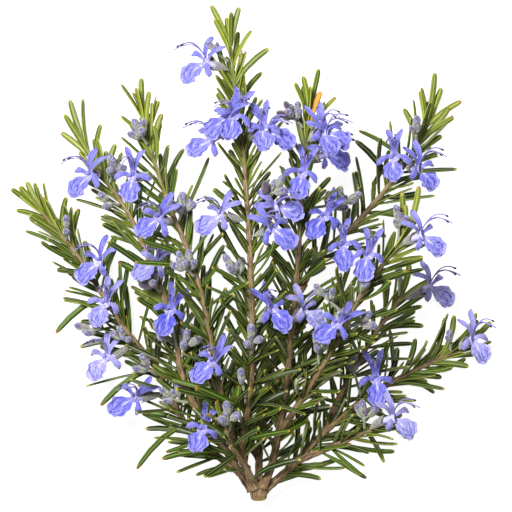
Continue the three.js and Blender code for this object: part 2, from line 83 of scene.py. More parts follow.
def carried(line, ahead, top, across, over, outline):
    """An outline carried along lines: each point is the line's point + side * across * x
    + up * over * y. Up is `top` made square to `ahead`, and side is up x ahead. Lines are
    bodies x rings x 3, across and over are bodies x rings, and outline ends in sides x 2."""
    ahead, top = np.broadcast_to(unit(ahead), line.shape), np.broadcast_to(top, line.shape)
    up = unit(top - ahead * np.sum(top * ahead, axis=-1, keepdims=True))
    side = np.cross(up, ahead)
    x, y = outline[..., 0], outline[..., 1]
    wide = (np.broadcast_to(across, line.shape[:2])[..., None] * x)[..., None]
    high = (np.broadcast_to(over, line.shape[:2])[..., None] * y)[..., None]
    return line[:, :, None] + side[:, :, None] * wide + up[:, :, None] * high


def rod(line, ahead, top, radius, outline):
    """One body carried along one line, as thick across as over."""
    radius = np.broadcast_to(radius, len(line))[None]
    return carried(line[None], ahead, top, radius, radius, outline)


def placed(name, data):
    """An object with this data, put into the scene."""
    made = bpy.data.objects.new(name, data)
    bpy.context.scene.collection.objects.link(made)
    return made


class Growth:
    """Gathers closed bodies made of rings and turns them into one piece of the bush. Marks are
    values at each point, such as how far along a leaf it lies, which the material reads."""

    def __init__(self):
        self.spots, self.faces, self.marks, self.count = [], [], {}, 0

    def add(self, rings, **marks):
        """Rings are bodies x rings x sides x 3. Neighbouring rings are joined by four-sided
        faces, and the first and last ring are each closed by one flat face. A mark that is
        left out is 0, and a vector mark is given for every body or for none."""
        bodies, count, sides = rings.shape[:3]
        ring, side = np.meshgrid(np.arange(count - 1), np.arange(sides), indexing="ij")
        beside = (side + 1) % sides
        quads = np.stack([ring * sides + side, ring * sides + beside,
                          (ring + 1) * sides + beside, (ring + 1) * sides + side], -1)
        around = np.arange(sides)
        ends = np.stack([around[::-1], (count - 1) * sides + around])
        step = self.count + np.arange(bodies)[:, None, None] * count * sides
        self.faces += (quads.reshape(1, -1, 4) + step).reshape(-1, 4).tolist()
        self.faces += (ends[None] + step).reshape(-1, sides).tolist()
        self.spots.append(rings.reshape(-1, 3))
        for name in set(marks) | set(self.marks):
            value = np.asarray(marks.get(name, 0.0), float)
            last = value.shape[3:]  # 3 for a vector, nothing for a plain value
            block = np.broadcast_to(value, (bodies, count, sides, *last)).reshape(-1, *last)
            self.marks.setdefault(name, [np.zeros((self.count, *last))]).append(block)
        self.count += bodies * count * sides

    def piece(self, name, look, slot, *nodes):
        """The object itself, which stands for the CAD nodes and takes its finish from the look.
        `slot` is not used.
        """
        mesh = bpy.data.meshes.new(name)
        spots = START + MM * np.concatenate(self.spots)
        mesh.from_pydata(spots.tolist(), [], self.faces)
        mesh.polygons.foreach_set("use_smooth", np.ones(len(mesh.polygons), bool))
        for mark, blocks in self.marks.items():
            values = np.concatenate(blocks)
            kind, field = ("FLOAT_VECTOR", "vector") if values.ndim == 2 else ("FLOAT", "value")
            mesh.attributes.new(mark, kind, "POINT").data.foreach_set(
                field, values.astype(np.float32).ravel())
        mesh.update()
        mesh.materials.append(look)
        made = placed(name, mesh)
        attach(made, "root")
        if nodes:
            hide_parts(*nodes)


def colour(code):
    """A paint colour such as "7b80f0" as the linear red, green, blue that Blender mixes."""
    parts = np.array([int(code[i:i + 2], 16) for i in (0, 2, 4)]) / 255
    linear = np.where(parts <= 0.04045, parts / 12.92, ((parts + 0.055) / 1.055) ** 2.4)
    return (*linear.tolist(), 1.0)


class Wire:
    """One value in a material. Sums on wires add the Math nodes that work them out."""

    def __init__(self, look, socket):
        self.look, self.socket = look, socket

    def sum(self, operation, first, second):
        return self.look.node("Math", {"operation": operation}, {0: first, 1: second})

    def __add__(self, other): return self.sum("ADD", self, other)
    def __radd__(self, other): return self.sum("ADD", other, self)
    def __sub__(self, other): return self.sum("SUBTRACT", self, other)
    def __rsub__(self, other): return self.sum("SUBTRACT", other, self)
    def __mul__(self, other): return self.sum("MULTIPLY", self, other)
    def __rmul__(self, other): return self.sum("MULTIPLY", other, self)
    def __abs__(self): return self.sum("ABSOLUTE", self, 0.0)


class Look:
    """A material: one shader, and the nodes that paint it. Paints are colour codes or wires."""

    def __init__(self, name, **constants):
        self.material = bpy.data.materials.new(name)
        self.material.use_nodes = True
        self.tree = self.material.node_tree
        self.shader = self.tree.nodes["Principled BSDF"]
        for socket, value in constants.items():
            self.shader.inputs[socket.replace("_", " ")].default_value = value
        self.base = None

    def node(self, kind, settings, inputs, out=0):
        made = self.tree.nodes.new("ShaderNode" + kind)
        for name, value in settings.items():
            setattr(made, name, value)
        for place, value in inputs.items():
            if isinstance(value, Wire):
                self.tree.links.new(value.socket, made.inputs[place])
            else:
                made.inputs[place].default_value = (
                    colour(value) if isinstance(value, str) else value)
        return Wire(self, made.outputs[out])

    def mark(self, name, vector=False):
        return self.node("Attribute", {"attribute_name": name}, {}, "Vector" if vector else "Fac")

    def mixed(self, share, low, high):
        """low where share is 0, high where it is 1."""
        return self.node("Mix", {"data_type": "RGBA"}, {0: share, 6: low, 7: high}, 2)

    def coat(self, share, paint):
        """Lays one more coat over the base, full where share is 1."""
        self.base = self.mixed(share, self.base, paint)

    def step(self, value, low, high):
        """A soft step from 0 at low to 1 at high."""
        return self.node("MapRange", {"interpolation_type": "SMOOTHSTEP"},
                         {"Value": value, "From Min": low, "From Max": high})

    def noise(self, scale, detail, rough=0.5, where=None):
        """Cloudy patches, by the place on the object unless another place is given."""
        where = where or self.node("TexCoord", {}, {}, "Object")
        return self.node("TexNoise", {}, {"Vector": where, "Scale": scale, "Detail": detail,
                                          "Roughness": rough})

    def wear(self, rough, bump, depth, strength):
        """Joins the painted values to the shader and returns the finished material."""
        relief = self.node("Bump", {}, {"Strength": strength, "Distance": depth,
                                        "Height": bump}, "Normal")
        for value, socket in (self.base, "Base Color"), (rough, "Roughness"), (relief, "Normal"):
            self.tree.links.new(value.socket, self.shader.inputs[socket])
        return self.material


def bark_look():
    """Bark: brown at the foot, olive brown higher and green at the tips, with pale fibres that
    run along the stem and dark cracks between them. `height` is the share of the bush's
    length, `grain` is a place in the wood squeezed along the stem, and `cut` is 1 on the cut."""
    look = Look("bark", Specular_IOR_Level=0.25)
    height = look.mark("height")
    fibre = look.noise(2.6, 4.0, 0.6, look.mark("grain", vector=True))
    patch = look.noise(260.0, 3.0)
    look.base = look.mixed(look.step(fibre, 0.3, 0.68), "433220", "9b815f")
    high = look.mixed(look.step(fibre, 0.3, 0.68), "5c4934", "a08a68")
    young = look.mixed(look.step(fibre, 0.3, 0.7), "4c5824", "8a9250")
    look.coat(look.step(height + (patch - 0.5) * 0.5, 0.2, 0.6), high)
    look.coat(look.step(height + (patch - 0.5) * 0.7, 0.62, 0.95), young)
    look.coat(look.mark("cut"), look.mixed(look.noise(2200.0, 3.0), "93672f", "cda76a"))
    return look.wear(0.72 + fibre * 0.2, fibre + patch * 0.4, 0.0003, 0.9)


bark = bark_look()


def woody_crown():
    """A short rod along the crown's line, with its radius pushed in and out by the grain, and a
    slanting cut: near it each point moves along by CUT_SLANT of its height."""
    share = np.array([0, 0, 0.03, 0.1, 0.2, 0.32, 0.45, 0.58, 0.7, 0.82, 0.92, 1, 1.06])
    radius = CROWN_RADIUS * np.array(
        [0.1, 0.78, 0.88, 0.93, 0.96, 0.97, 0.95, 0.9, 0.8, 0.68, 0.55, 0.35, 0.1])
    line = np.array(CROWN_LINE[0]) + share[:, None] * np.diff(CROWN_LINE, axis=0)
    outline, turn = round_outline(CROWN_SIDES), turns(CROWN_SIDES)
    ridge = 1 + 0.035 * np.sin(5 * turn + 1.2) + 0.025 * np.sin(9 * turn + 4 * share[:, None])
    ridge[:2] = 1
    rings = rod(line, CROWN_RUN, [0, 0, 1], radius, outline * ridge[..., None])
    slant = CUT_SLANT * (1 - smooth(share, 0, 0.6))[None, :, None]
    rings[..., 1] += slant * (rings[..., 2] - CROWN_LINE[0][2] + CROWN_RADIUS)
    grain = np.stack(np.broadcast_arrays(
        outline[:, 0] * 2.4, outline[:, 1] * 2.4, share[:, None] * 0.8), -1)[None]
    growth = Growth()
    cut = np.where(np.arange(len(share)) < 2, 1.0, 0.0)[None, :, None]
    growth.add(rings, height=0.0, grain=grain, cut=cut)
    growth.piece("crown", bark, "bark", "woody_crown")


woody_crown()

# ------------------------------------------------------------
# The shoots' wood
# Five shoots leave the crown and nine side shoots leave those. Each is a thin woody rod that
# arches away from the table, swells a little at every pair of leaves and turns from cracked
# brown bark at the foot to soft green at the tip. The CAD calls two short ones spurs.
SHOOTS = {
    "top": ("woody_crown", [
        [-0.7, 3.0, 10.2], [-2.6, 7, 12.6], [-4.6, 12, 15.4], [-4.5, 18, 19], [-3, 27, 24],
        [-2, 38, 29], [-1.8, 50, 33.5], [-2, 65, 37.5], [-3, 85, 40.5], [-4.5, 105, 41],
        [-7, 124, 39.5], [-8.5, 138, 37]]),
    "right_centre": ("woody_crown", [
        [1.3, 3.2, 10], [3.8, 9, 11.4], [6.4, 20, 14.5], [8.5, 32, 18.5], [9.5, 45, 22.5],
        [11, 60, 26], [12, 72, 28], [13, 88, 29.5], [14, 100, 29.5], [14.5, 110, 28.5],
        [16, 119, 27]]),
    "low_right": ("woody_crown", [
        [1.9, 2.6, 8.4], [6.5, 6.4, 8.8], [12, 11.5, 10], [20, 20, 12], [30, 28.5, 12.6],
        [40, 35, 11.4], [50, 40, 8.6], [63, 45.5, 5]]),
    "upper_left": ("woody_crown", [
        [-1.9, 2.6, 8.4], [-5.6, 8, 9.6], [-10, 15.5, 13], [-18.5, 27.5, 17.5], [-23, 38, 20],
        [-25, 50, 21.5], [-29, 63, 21], [-34, 75, 18.5], [-39, 86, 14.5], [-46, 96, 9],
        [-52, 105.5, 4.4]]),
    "back_centre": ("woody_crown", [
        [0.2, 3.0, 7], [0.4, 12, 6], [1.5, 25, 5.4], [4, 40, 5], [9, 56, 5]]),
    "left_centre": ("top", [
        [-4.6, 12, 15.4], [-7.4, 18, 19.5], [-9.5, 26, 24], [-12, 36, 28.5], [-14.5, 50, 32.5],
        [-17, 62, 35], [-21, 75, 36], [-26, 87, 35.5], [-29.5, 97, 34], [-33, 108, 31.5],
        [-35, 117, 28.5]]),
    "far_left": ("upper_left", [
        [-5.6, 8, 9.6], [-10.4, 11.4, 8.4], [-21.5, 22, 9], [-27, 32.5, 9.6], [-32, 41, 9.6],
        [-40, 51, 9.2], [-46, 60, 8.6], [-55, 74, 7.2], [-62, 82.5, 6], [-69.5, 91, 4.6]]),
    "upper_right": ("right_centre", [
        [11, 60, 26], [15.5, 68, 23.5], [21, 75.5, 21.5], [28, 81.5, 19.5], [37, 91.5, 16],
        [43, 99, 12.6], [48, 106, 9], [52.5, 116, 5]]),
    "mid_right": ("right_centre", [
        [6.4, 20, 14.5], [10.6, 26, 19], [14.6, 32.5, 23], [20, 41, 27.5], [26, 52, 32],
        [31, 62, 35], [38, 71.5, 36.5], [44.5, 79, 36]]),
    "right": ("low_right", [
        [20, 20, 12], [22.4, 26, 10.6], [28, 37, 10.4], [33, 46, 10], [38, 53.5, 9],
        [44, 62, 7]]),
    "spur_low_right": ("low_right", [
        [12, 11.5, 10], [19, 14.3, 13.4], [25, 16.8, 16], [30, 19.2, 17.6], [35, 21, 18.4]]),
    "spur_low_left": ("top", [
        [-3.6, 9.2, 13.6], [-5.6, 12.5, 18], [-8.2, 17, 23.5], [-9.6, 22, 27.5]]),
    "back_left": ("back_centre", [
        [0.4, 12, 6], [-6, 21, 5.2], [-14, 34, 4.8], [-22, 48, 4.6], [-32, 62, 4.6]]),
    "back_right": ("back_centre", [
        [1.5, 25, 5.4], [9, 33, 5], [18, 45, 4.8], [25, 60, 4.8]]),
}
STEM_FOOT_RADIUS = 1.05
SIDE_SHOOT_FOOT = 0.85  # a side shoot's foot is this share as thick
STEM_TIP_RADIUS = 0.5
STEM_SIDES = 12
PAIR_SPACING = 3.5  # stem between two pairs of leaves
WOOD_STEP = 0.8     # stem between two rings of the mesh
BUSH_LENGTH = 149
STALK_OFF = 0.85    # how far off the stem a flower's or bud spray's foot is


class Stem:
    """The middle line of a shoot: a curve through its route whose spans leave and reach each
    point with slopes weighed by the square roots of the distances between the points."""

    def __init__(self, name, parent, route):
        self.node = name if name.startswith("spur") else "shoot_" + name
        points = np.array(route, float)
        ends = np.vstack([2 * points[0] - points[1], points, 2 * points[-1] - points[-2]])
        gap = np.sqrt(np.linalg.norm(np.diff(ends, axis=0), axis=1))[:, None]
        a, b, c, d = ends[:-3], ends[1:-2], ends[2:-1], ends[3:]
        before, own, after = gap[:-2], gap[1:-1], gap[2:]
        leave = ((b - a) / before - (c - a) / (before + own) + (c - b) / own) * own
        reach = ((c - b) / own - (d - b) / (own + after) + (d - c) / after) * own
        t = np.linspace(0, 1, 30, endpoint=False)[None, :, None]
        b, c, leave, reach = b[:, None], c[:, None], leave[:, None], reach[:, None]
        fine = ((2 * t**3 - 3 * t**2 + 1) * b + (t**3 - 2 * t**2 + t) * leave
                + (3 * t**2 - 2 * t**3) * c + (t**3 - t**2) * reach)
        fine = np.vstack([fine.reshape(-1, 3), points[-1]])
        run = np.concatenate([[0], np.cumsum(np.linalg.norm(np.diff(fine, axis=0), axis=1))])
        self.length = run[-1]
        self.shares, self.fine = run / run[-1], fine
        self.slopes = unit(np.gradient(fine, axis=0))
        self.thick_foot = STEM_FOOT_RADIUS * (1 if parent == "woody_crown" else SIDE_SHOOT_FOOT)

    def along(self, values, share):
        return np.stack([np.interp(share, self.shares, values[:, k]) for k in range(3)], -1)

    def at(self, share):
        """The middle line's places at these shares of its length."""
        return self.along(self.fine, share)

    def ahead(self, share):
        """The way the stem runs at these shares of its length."""
        return unit(self.along(self.slopes, share))

    def radius(self, share):
        return self.thick_foot + (STEM_TIP_RADIUS - self.thick_foot) * np.asarray(share)

    def nearest(self, x, y):
        """The share that lies nearest to a place seen from above, out of sixtieths."""
        share = np.arange(2, 59) / 60
        return share[np.argmin(np.hypot(*(self.at(share)[:, :2] - [x, y]).T))]

    def stalk(self, seen, long, least, lift, share=None):
        """A stalk up to a place seen from above: `long` where the place is near enough, its
        head at least `least` above the stem's middle, and `lift` more. It leaves the stem 3 mm
        nearer the crown unless the share is given. Gives share, foot, way out and head."""
        share = self.nearest(seen[0], seen[1] - 3) if share is None else share
        axis, ahead = self.at(share), self.ahead(share)
        height = np.sqrt(max(0, long**2 - np.hypot(*(np.array(seen) - axis[:2])) ** 2))
        head = np.array([*seen, axis[2] + max(least, height) + lift])
        out = head - axis
        out = unit(out - ahead * (out @ ahead))
        return share, axis + out * (self.radius(share) + STALK_OFF), out, head


stems = {name: Stem(name, *route) for name, route in SHOOTS.items()}


def shoot_wood(stem):
    """A rod along the stem: its radius falls evenly to the tip and is wider at the foot and by a
    small bell at each pair of leaves, and soft ribs run round the stem."""
    share = np.linspace(0, 1, int(stem.length / WOOD_STEP))
    line, along = stem.at(share), share[:, None] * stem.length
    beat = np.abs((along[:, 0] / PAIR_SPACING + 0.5) % 1 - 0.5)
    swell = 0.16 * np.exp(-((beat / 0.13) ** 2))
    flare = 0.35 * np.exp(-along[:, 0] / 2.2)
    radius = stem.radius(share) * (1.14 + swell + flare)
    radius[-1] *= 0.3
    turn, circle = turns(STEM_SIDES), round_outline(STEM_SIDES)
    rib = 1 + 0.07 * np.sin(3 * turn + along * 0.09) + 0.04 * np.sin(5 * turn - along * 0.31)
    rings = rod(line, stem.ahead(share), [0, 0.15, 1], radius, circle * rib[..., None])
    grain = np.stack(np.broadcast_arrays(
        circle[:, 0], circle[:, 1] + line[0, 0], along / 7), -1)[None]
    height = np.clip(line[:, 1] / BUSH_LENGTH * 0.45 + share * 0.55, 0, 1)
    growth = Growth()
    growth.add(rings, height=height[None, :, None], grain=grain, cut=0.0)
    growth.piece("wood_" + stem.node, bark, "bark", stem.node)


for stem in stems.values():
    shoot_wood(stem)

# ------------------------------------------------------------
# The flowers
# Each is a two-lipped, periwinkle flower on a hairy calyx: a pale tube, two erect narrow lobes
# above, a rounded lobe at each side and a big spoon-shaped lip with a crimped rim below.
# Two stamens and a style arch out from under the upper lobes. All of it is thin, soft petal.
FLOWERS = [  # name, shoot, throat, lower lip, degrees it looks aside, tone, age, lift
    ("01", "upper_left", (-16.7, 21), (-18, 17.5), -5, -0.1),
    ("02", "left_centre", (-13.7, 41.5), (-17, 38), -35, -0.2),
    ("03", "far_left", (-37.5, 30.5), (-41, 28.5), -45, -0.3),
    ("04", "far_left", (-46, 42.5), (-48, 38), -45, 0.7, 0.2),
    ("05", "upper_left", (-26.3, 57), (-27.3, 54.5), -5, -0.8),
    ("06", "upper_left", (-31, 71.5), (-34, 69), -40, 0.2, 0.5),
    ("07", "left_centre", (-30, 84.5), (-34, 81.5), -50, -0.3),
    ("08", "left_centre", (-37.5, 97), (-38, 92), -20, -0.2),
    ("09", "top", (-11.5, 85.5), (-16, 82), -60, 0.5),
    ("10", "top", (4.5, 81.5), (8, 78.5), 30, -0.3, 0, 3.5),
    ("11", "top", (4.5, 57.5), (7, 54), 20, -0.5),
    ("12", "upper_left", (-51, 97.5), (-54.5, 92.7), -65, -0.1),
    ("13", "top", (-16, 131), (-20, 127.5), -75, 0.1),
    ("trio_14", "top", (-9.5, 114.5), (-12, 112), -35, -0.2),
    ("trio_14", "top", (-7, 115), (-8.5, 111), 10, -0.2),
    ("trio_14", "top", (-14, 108), (-18.5, 105), -70, 0.1),
    ("pair_15", "top", (1.5, 111.5), (2, 107.5), 10, 0.2),
    ("pair_15", "top", (3.5, 110), (6.5, 108.5), 60, 0.0),
    ("pair_16", "right_centre", (19.5, 110.5), (21, 107), 40, -0.1, 0, 4),
    ("pair_16", "right_centre", (21, 110), (23.3, 108.5), 60, 0.0, 0, 4),
    ("17", "right_centre", (20.5, 104), (25.5, 102), 82, -0.1, 0, -6.5),
    ("18", "right_centre", (13.3, 98), (12.5, 94.5), 0, -0.3),
    ("19", "top", (6, 88), (13, 86.5), 72, 0.4, 0, -2),
    ("20", "right_centre", (20, 85), (18, 82), -10, -0.6),
    ("21", "upper_right", (25.7, 76.5), (26, 73), 0, -0.3),
    ("22", "mid_right", (33, 73.5), (32.5, 70.5), 0, -0.1),
    ("23", "mid_right", (23.5, 53), (20.5, 50.5), -20, -0.4),
    ("24", "right_centre", (14, 57), (17, 54.5), 75, 0.2, 0.8),
    ("25", "mid_right", (49, 79.5), (54.5, 75.5), 75, 0.4),
    ("26", "right", (52.5, 64), (57, 60.5), 70, 0.9, 0.2),
    ("27", "upper_right", (41, 103), (41, 100), -10, 0.0),
    ("28", "upper_right", (49, 99.5), (52, 94.5), 60, 0.0, 0, -3.5),
    ("29", "low_right", (35.3, 36.3), (35.5, 33), 0, -0.4),
    ("30", "low_right", (65, 48), (67, 43.5), 50, 0.6, 0.3),
    ("31", "spur_low_right", (41, 24.5), (45, 20.5), 60, 0.5, 0.5),
    ("32", "far_left", (-48, 71.5), (-51.5, 68), -60, 0.1),
    ("33", "far_left", (-46, 59), (-47.5, 55.5), -20, 0.4, 0.3, -1.5),
]
TUBE_LENGTH = 4
CALYX_LENGTH = 5
SHORTEST_FLOWER = 3.0  # a flower with a shorter line keeps the parts of one this long
PETAL_HALF = 0.09      # half a petal's thickness
OPEN_TURN = 0.55       # share of the tube's turn that the lobes keep
petal_chance = np.random.default_rng(5)


def bezier(places, t):
    """A curve with one bend: (1-t)^2 first + 2 t (1-t) bend + t^2 last, and its slope. Places
    are three arrays ending in 3, and t adds one axis before that."""
    first, bend, last = (np.asarray(p, float)[..., None, :] for p in places)
    t = np.asarray(t, float)[:, None]
    return ((1 - t) ** 2 * first + 2 * t * (1 - t) * bend + t**2 * last,
            2 * (1 - t) * (bend - first) + 2 * t * (last - bend))


class Flower:
    """Where one flower sits: it springs from the side of its stem that looks at the throat, and
    `face` is the way its tube looks. Its lobes look less far aside, along `open`. `drop` runs
    from the throat to the lower lip square to `face`, and `droop` square to `open`."""

    def __init__(self, joined, name, shoot, throat, lip, looks, tone, age=0, lift=0):
        self.name, self.shoot, self.tone, self.age = name, shoot, tone, age
        self.share, self.foot, self.out, self.throat = stems[shoot].stalk(
            throat, CALYX_LENGTH + TUBE_LENGTH, 1.5, lift, joined and joined.share)
        if joined:
            self.foot, self.out = joined.foot, joined.out
        angle = np.radians(looks)
        self.face = np.array([np.sin(angle), 0, np.cos(angle)])
        self.open = np.array([np.sin(OPEN_TURN * angle), 0, np.cos(OPEN_TURN * angle)])
        down = np.array([lip[0] - throat[0], lip[1] - throat[1], 0.0])
        self.drop = unit(down - self.face * (down @ self.face))
        self.droop = unit(down - self.open * (down @ self.open))
        self.reach = np.linalg.norm(self.foot - self.throat)
        behind = self.throat - 0.45 * self.reach * self.face
        bend = self.foot + 0.45 * self.reach * self.out
        self.line = [self.foot, bend + 0.6 * (behind - bend), self.throat]

    def set(self, places, opened=True):
        """Places given as (ahead, down, aside) of the throat."""
        ahead, down = (self.open, self.droop) if opened else (self.face, self.drop)
        return self.throat + np.asarray(places, float) @ np.array(
            [ahead, down, np.cross(down, ahead)])


flowers = []
for row in FLOWERS:
    first = next((flower for flower in flowers if flower.name == row[0]), None)
    flowers.append(Flower(first, *row))


def petal(flower, places, widths, cup, curl, crimp, rings=14, sides=18, roll=0.0,
          round_from=0.75):
    """A closed, thin sheet along a bent line. At a share t of the line and x from -1 to 1 across
    it, the point is line(t) + side w(t) x + face (cup x^2 - curl t + roll x t + waves), and each
    side of the sheet stands half its thickness off that. From `round_from` on the width
    shrinks as (1 - s^2.6)^0.45, so the end is round and blunt. The waves wander instead of
    running straight, and `crimp` is how high they are and how far the rim frays."""
    t = 1 - (1 - np.linspace(0, 1, rings)) ** 1.6
    bends = np.array(places) + petal_chance.normal(size=(3, 3)) * [[0], [0.45], [0.4]]
    line, slope = bezier(flower.set(bends), t)
    spread = np.interp(t, np.linspace(0, 1, len(widths)), widths)
    blunt = np.clip(1 - np.clip((t - round_from) / (1 - round_from), 0, 1) ** 2.6, 0, 1) ** 0.45
    spread = spread * np.where(t > round_from, blunt, 1) + 0.02
    forward = unit(slope)
    up = unit(flower.open - forward * (forward @ flower.open)[:, None])
    across = np.cross(up, forward)
    t, (x, y) = t[:, None], round_outline(sides).T
    beat = petal_chance.uniform(0, 6)
    wander = 12 * x + beat + 1.6 * np.sin(8 * t + beat + 3 * x)
    rise = cup * x**2 * smooth(t, 0.1, 0.7) - curl * smooth(t, 0.6, 1) + roll * x * t
    rise = rise + crimp * smooth(t, 0.2, 0.8) * np.cos(wander)
    rise = rise + PETAL_HALF * y * np.sqrt(np.clip(1 - t**6, 0.05, 1))
    scallop = 1 + crimp * 0.35 * smooth(t, 0.3, 0.6) * np.sin(9 * x + 19 * t + beat)
    frill = 1.2 * crimp * smooth(t, 0.6, 1) * np.cos(wander)
    spots = (line[:, None] + across[:, None] * (spread[:, None] * x * scallop)[..., None]
             + up[:, None] * rise[..., None] + forward[:, None] * frill[..., None])
    fold = np.cos(wander) * smooth(t, 0.2, 0.6)
    return {"rings": spots[None], "along": t[None], "across": x, "fold": fold[None]}


def petal_look():
    """Petal: blue to lilac by `tone`, paler at the throat, with a painted highlight along the rim
    and on the outer half of each lobe, fine darker veins that fan along each lobe, painted shade
    in the creases where `fold` is -1 and a painted highlight on the ridges where it is 1, a
    white stripe with violet spots on the spoon, and dark anthers. `part` is 0 on the tube, 1
    on the lobes, 2 on the spoon, 3 on the filaments and 4 on the anthers."""
    look = Look("petal", Specular_IOR_Level=0.3, Sheen_Weight=0.25, Sheen_Roughness=0.5,
                Subsurface_Weight=0.12, Subsurface_Scale=0.0006)
    look.shader.inputs["Subsurface Radius"].default_value = (0.6, 0.6, 1.0)
    part, along, across, tone, age, fold = (
        look.mark(name) for name in ("part", "along", "across", "tone", "age", "fold"))
    mottle, warp = look.noise(900.0, 3.0), look.noise(420.0, 1.0)
    look.base = look.mixed(look.step(tone + (mottle - 0.5) * 0.7, -1.0, 0.0), "4346c4", "7a78da")
    look.coat(look.step(tone + (mottle - 0.5) * 0.5, 0.0, 1.0), "aea8ea")
    # Painted highlight: the outer half of each lobe is made paler, colour 9695ea.
    look.coat(look.step(along, 0.45, 1.0) * 0.45, "9695ea")
    vein = look.node("Math", {"operation": "SINE"},
                     {0: across * 26.0 + mottle * 7.0 + warp * 12.0 + along * 5.0})
    vein = look.step(vein, 0.3, 1.0) * look.step(along, 0.15, 0.4)
    look.coat(vein * 0.62, "322fa0")
    # Painted shade in the creases of the folds (2d2992), and a painted highlight on their ridges
    # (aaa9f2).
    painted_crease_shade = (1 - look.step(fold, -1.0, -0.5)) * look.step(along, 0.2, 0.45)
    look.coat(painted_crease_shade * 0.8, "2d2992")
    look.coat(look.step(fold, 0.2, 1.0) * 0.4, "aaa9f2")
    # Painted highlight along the rim of each lobe, colour b9b8f4.
    look.coat(look.step(abs(across), 0.86, 1.0) * look.step(along, 0.3, 0.6) * 0.45, "b9b8f4")
    throat = (1 - look.step(along, 0.05, 0.36)) * look.step(part, 0.5, 0.9)
    look.coat(throat * 0.55, "b7b1e6")
    spoon = look.step(part, 1.5, 1.9) * (1 - look.step(part, 2.1, 2.5))
    stripe = spoon * (1 - look.step(abs(across), 0.05, 0.2)) * (1 - look.step(along, 0.35, 0.6))
    look.coat(stripe * 0.7, "e6e2fb")
    look.coat(stripe * look.step(look.noise(2600.0, 1.0), 0.56, 0.62), "5a3a9c")
    look.coat((1 - look.step(part, 0.2, 0.6)) * 0.8, "c9c3f0")
    look.coat(age * look.step(mottle, 0.3, 0.6) * 0.8, "a9a6b8")
    look.coat(look.step(part, 2.5, 2.9), "7f74b8")
    look.coat(look.step(part, 3.5, 3.9), "2c2542")
    return look.wear(0.5 + mottle * 0.2, vein * -0.8 + mottle, 0.0003, 0.8)


petal_paint = petal_look()


def corolla(growth, flower):
    """One flower's tube, five lobes, two stamens and style. The shares of the tube's line turn
    back at its mouth, which makes the inside."""
    marks = {"tone": flower.tone, "age": flower.age}
    back = max(0.15, 1 - (TUBE_LENGTH + 1.5) / max(flower.reach, SHORTEST_FLOWER))
    line, slope = bezier(
        flower.line, [back, back + 0.1, (back + 1) / 2, 0.9, 1.0, 1.03, 0.98, 0.9, 0.82])
    radii = [0.5, 0.85, 0.95, 1.25, 1.6, 1.66, 1.45, 1.1, 0.5]
    growth.add(rod(line, slope, flower.drop, radii, round_outline(14)), part=0.0, **marks)
    for hand in (-1, 1):
        upper = petal(
            flower, [(-1.0, -0.2, 0.45 * hand), (2.4, -4.2, 0.1 * hand), (-0.6, -8.2, 2.5 * hand)],
            [0.5, 0.6, 0.72, 0.82, 0.9, 0.8], 0.5, 0.3, 0.14, roll=0.5 * hand)
        wing = petal(
            flower, [(-0.9, 0.1, 0.5 * hand), (2.8, -1.4, 2.8 * hand), (0.3, 1.5, 4.9 * hand)],
            [0.5, 0.55, 0.68, 0.85, 0.95, 0.85], -0.4, 0.2, 0.16, roll=0.5 * hand)
        growth.add(**upper, part=1.0, **marks)
        growth.add(**wing, part=1.0, **marks)
    spoon = petal(
        flower, [(-1.1, 0.5, 0), (2.9, 2.8, 0), (1.5, 7.1, 0)],
        [0.85, 1.0, 1.5, 2.3, 2.8, 3.0, 3.1, 3.05, 2.95, 2.8], 1.1, -0.4, 0.36, rings=24,
        sides=48, round_from=0.6)
    growth.add(**spoon, part=2.0, **marks)
    for hand, end in ((-1, (7.6, -5.6, -1.2)), (1, (8.2, -4.6, 1.0)), (0, (9.6, -3.6, 0.0))):
        bends = flower.set([(-0.5, -0.8, 0.4 * hand), (3.4, -8.2, 0.5 * hand), end], False)
        line, slope = bezier(bends, np.linspace(0, 1, 12))
        thread = rod(line, slope, flower.face, 0.2 if hand else 0.16, round_outline(6))
        growth.add(thread, part=3.0, along=0.5, **marks)
        if hand:
            knob = line[-1] + unit(slope[-1]) * np.linspace(-0.5, 0.7, 7)[:, None]
            fat = 0.32 * np.sqrt(np.clip(1 - np.linspace(-1, 1, 7) ** 2, 0.02, 1))
            anther = rod(knob, slope[-1], flower.face, fat, round_outline(8))
            growth.add(anther, part=4.0, along=0.5, **marks)


for name in dict.fromkeys(flower.name for flower in flowers):
    growth = Growth()
    for flower in flowers:
        if flower.name == name:
            corolla(growth, flower)
    growth.piece("corolla_" + name, petal_paint, "petal", "flower_" + name)

# ------------------------------------------------------------
# The calyxes
# Every flower sits in a ribbed, two-lipped bell of grey-green leaf, flushed with purple and
# covered in short white hairs, on a thin stalk.
CALYX_SIDES = 20


def calyx_look():
    """Grey green with purple between the ribs, frosted with white hairs, lilac petal on the buds
    beyond `bloom` 0.5, and withered purple brown where `dark` is 1. `rib` is 1 on a rib and 0
    between two."""
    look = Look("calyx", Specular_IOR_Level=0.2, Sheen_Weight=0.6, Sheen_Roughness=0.6)
    look.shader.inputs["Sheen Tint"].default_value = colour("f2f2ec")
    rib, along, bloom = look.mark("rib"), look.mark("along"), look.mark("bloom")
    flush, hair = look.noise(420.0, 2.0), look.noise(4200.0, 2.0, 0.7)
    look.base = look.mixed(rib, "544f4c", "8f9c72")
    look.coat(look.step(flush + along * 0.3, 0.5, 0.85) * 0.75, "6d5472")
    look.coat(look.step(hair, 0.48, 0.68) * 0.7, "cdd1c8")
    lilac = look.mixed(look.step(look.noise(1500.0, 2.0), 0.45, 0.62), "4e497c", "a3a2cc")
    lilac = look.mixed(rib * 0.65, lilac, "3f3860")
    teeth = bloom + (hair - 0.5) * 0.4 + (0.5 - rib) * 0.5
    look.coat(look.step(teeth, 0.45, 0.85) * 0.9, lilac)
    look.coat(look.mark("dark"), "4a3550")
    return look.wear(0.7 + hair * 0.2, hair + rib * 0.5, 0.0002, 0.8)


calyx_paint = calyx_look()


